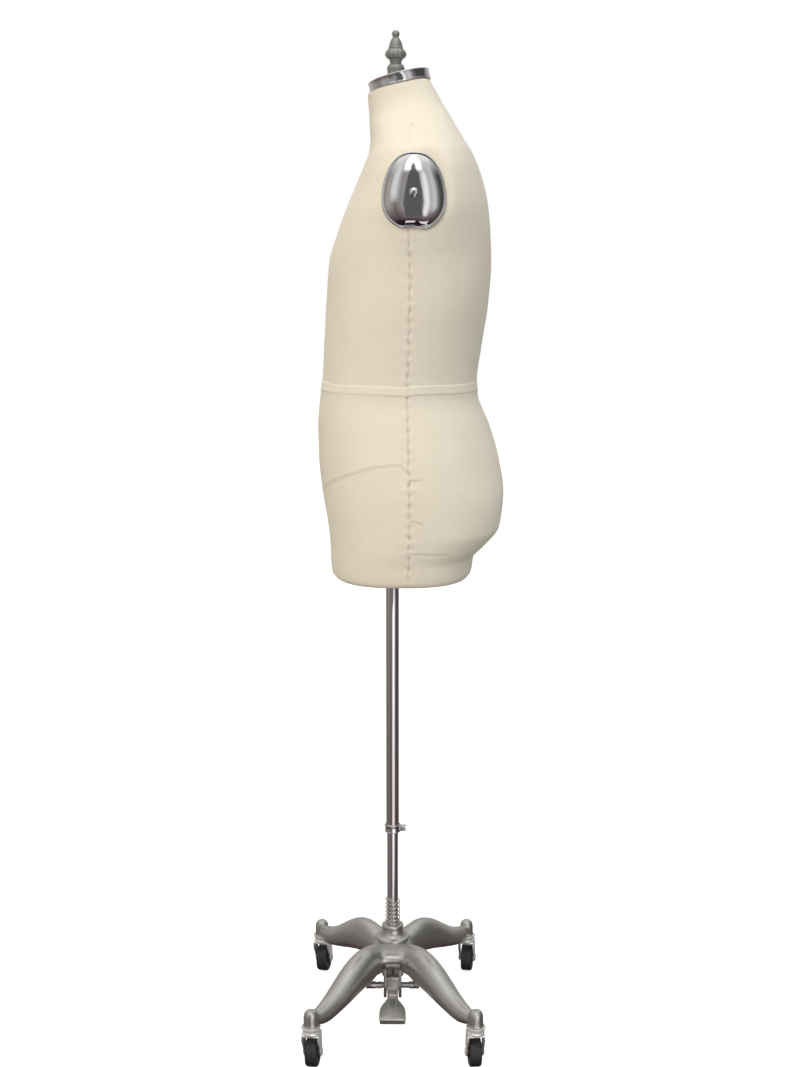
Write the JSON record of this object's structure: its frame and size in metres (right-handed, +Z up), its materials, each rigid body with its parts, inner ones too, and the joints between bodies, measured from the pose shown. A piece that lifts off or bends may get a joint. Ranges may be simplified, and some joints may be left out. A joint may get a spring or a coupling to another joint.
{
  "type": "dress_form_mannequin",
  "caption": "Linen-covered male dress form with chrome arm plates and a turned finial, on a telescoping chrome mast over a cast four-leg base with swivel casters and a foot pedal",
  "frame": {"origin": "On the floor, under the middle of the whole form's box. The mast stands 6 mm to +X and 17 mm to -Y of it.", "axes": "+Z up. The form faces -Y, and its own left side, with the foot pedal, is +X."},
  "size_m": [0.4404, 0.3304, 1.661],
  "materials": {
    "linen": "woven linen",
    "tape": "cotton tape",
    "paper_shell": "pressed paper board",
    "wood": "plain plywood",
    "polished_chrome": "mirror polished",
    "silver_casting": "satin silver-grey paint",
    "pewter": "satin pewter grey",
    "zinc": "bright zinc plate",
    "spring_steel": "bright spring wire",
    "steel": "plain turned steel",
    "black_tread": "satin black rubber",
    "black_plastic": "moulded black"
  },
  "bodies": {
    "base": {"base_casting": "silver_casting", "inner_post": "polished_chrome", "post_ring_nut": "zinc", "hub_set_screw": "steel", "rod_guide": "steel", "lock_collet": "steel", "bumper_spring": "spring_steel", "pedal_axle": "silver_casting", "front_left_caster_stem": "zinc", "back_left_caster_stem": "zinc", "front_right_caster_stem": "zinc", "back_right_caster_stem": "zinc"},
    "pedal": {"foot_pedal": "silver_casting", "pedal_spring": "spring_steel"},
    "lock_rod": {"release_rod": "steel", "lock_cone": "steel"},
    "collar": {"stop_collar": "polished_chrome", "collar_screw": "steel"},
    "form": {"mast_tube": "polished_chrome", "top_socket": "steel", "bottom_board": "wood", "mast_flange": "steel", "flange_screw": "steel", "torso_shell": "paper_shell", "linen_cover": "linen", "waist_tape": "tape", "neck_block": "wood", "neck_cap": "pewter", "neck_band": "polished_chrome", "finial": "pewter", "finial_stud": "steel", "left_arm_plate": "polished_chrome", "right_arm_plate": "polished_chrome", "left_arm_screw": "polished_chrome", "right_arm_screw": "polished_chrome", "left_arm_block": "wood", "right_arm_block": "wood"},
    "front_left_swivel": {"front_left_caster_fork": "zinc", "front_left_caster_axle": "zinc"},
    "front_left_wheel": {"front_left_wheel_core": "black_plastic", "front_left_tyre": "black_tread"},
    "back_left_swivel": {"back_left_caster_fork": "zinc", "back_left_caster_axle": "zinc"},
    "back_left_wheel": {"back_left_wheel_core": "black_plastic", "back_left_tyre": "black_tread"},
    "front_right_swivel": {"front_right_caster_fork": "zinc", "front_right_caster_axle": "zinc"},
    "front_right_wheel": {"front_right_wheel_core": "black_plastic", "front_right_tyre": "black_tread"},
    "back_right_swivel": {"back_right_caster_fork": "zinc", "back_right_caster_axle": "zinc"},
    "back_right_wheel": {"back_right_wheel_core": "black_plastic", "back_right_tyre": "black_tread"}
  },
  "joints": [
    {"name": "mast_height", "type": "slide", "parent": "base", "child": "collar", "axis": [0, 0, 1], "range_m": [-0.115, 0.2]},
    {"name": "form_turn", "type": "hinge", "parent": "collar", "child": "form", "pos_m": [0.006, -0.017, 0.343], "axis": [0, 0, 1], "continuous": true},
    {"name": "pedal_press", "type": "hinge", "parent": "base", "child": "pedal", "pos_m": [0.029, -0.017, 0.072], "axis": [0, 1, 0], "range_deg": [0, 15], "stiffness_Nm_per_rad": 4, "springref_deg": -8.59},
    {"name": "rod_lift", "type": "slide", "parent": "base", "child": "lock_rod", "axis": [0, 0, 1], "range_m": [0, 0.00686]},
    {"name": "front_left_swivel_turn", "type": "hinge", "parent": "base", "child": "front_left_swivel", "pos_m": [0.185, -0.149, 0.07], "axis": [0, 0, 1], "continuous": true},
    {"name": "front_left_wheel_roll", "type": "hinge", "parent": "front_left_swivel", "child": "front_left_wheel", "pos_m": [0.17015, -0.14691, 0.02469], "axis": [0.1392, 0.9903, 0], "continuous": true},
    {"name": "back_left_swivel_turn", "type": "hinge", "parent": "base", "child": "back_left_swivel", "pos_m": [0.185, 0.119, 0.07], "axis": [0, 0, 1], "continuous": true},
    {"name": "back_left_wheel_roll", "type": "hinge", "parent": "back_left_swivel", "child": "back_left_wheel", "pos_m": [0.17006, 0.11769, 0.02469], "axis": [-0.0872, 0.9962, 0], "continuous": true},
    {"name": "front_right_swivel_turn", "type": "hinge", "parent": "base", "child": "front_right_swivel", "pos_m": [-0.173, -0.149, 0.07], "axis": [0, 0, 1], "continuous": true},
    {"name": "front_right_wheel_roll", "type": "hinge", "parent": "front_right_swivel", "child": "front_right_wheel", "pos_m": [-0.18767, -0.14588, 0.02469], "axis": [0.2079, 0.9781, 0], "continuous": true},
    {"name": "back_right_swivel_turn", "type": "hinge", "parent": "base", "child": "back_right_swivel", "pos_m": [-0.173, 0.119, 0.07], "axis": [0, 0, 1], "continuous": true},
    {"name": "back_right_wheel_roll", "type": "hinge", "parent": "back_right_swivel", "child": "back_right_wheel", "pos_m": [-0.18782, 0.12135, 0.02469], "axis": [0.1564, 0.9877, 0], "continuous": true}
  ],
  "couplings": [
    {"joint": "rod_lift", "follows": "pedal_press", "m_per_rad": 0.0262}
  ]
}
